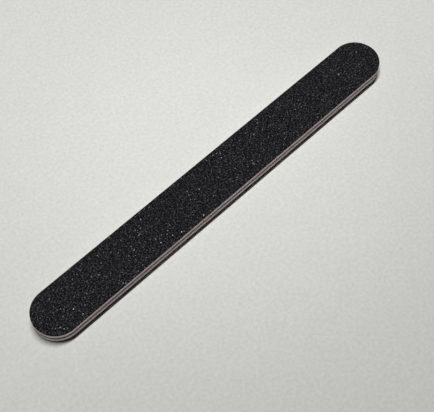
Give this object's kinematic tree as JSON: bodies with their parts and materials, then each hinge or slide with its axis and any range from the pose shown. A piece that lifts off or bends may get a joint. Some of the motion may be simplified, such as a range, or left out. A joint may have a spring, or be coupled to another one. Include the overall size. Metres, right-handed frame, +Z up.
{
  "type": "emery board",
  "caption": "Straight emery board with full-round ends: black grit on both faces, backed with paper, over pale foam pads and a dark plastic core.",
  "frame": {"origin": "middle of the underside, where the board lies on a table", "axes": "+X along the board, +Y across it, +Z up through its thickness"},
  "size_m": [0.178, 0.0194, 0.0057],
  "materials": {
    "grit": "rough black grains in dark resin",
    "backing_paper": "matte black paper, cut edge",
    "foam": "matte closed-cell foam, pale with a tint of mauve",
    "core": "satin dark maroon plastic, cut edge",
    "adhesive": "translucent pressure-sensitive film"
  },
  "bodies": {
    "root": {"lower_grit_coat": "grit", "lower_backing_paper": "backing_paper", "lower_paper_adhesive": "adhesive", "lower_foam_pad": "foam", "lower_core_adhesive": "adhesive", "plastic_core": "core", "upper_core_adhesive": "adhesive", "upper_foam_pad": "foam", "upper_paper_adhesive": "adhesive", "upper_backing_paper": "backing_paper", "upper_grit_coat": "grit"}
  },
  "joints": []
}
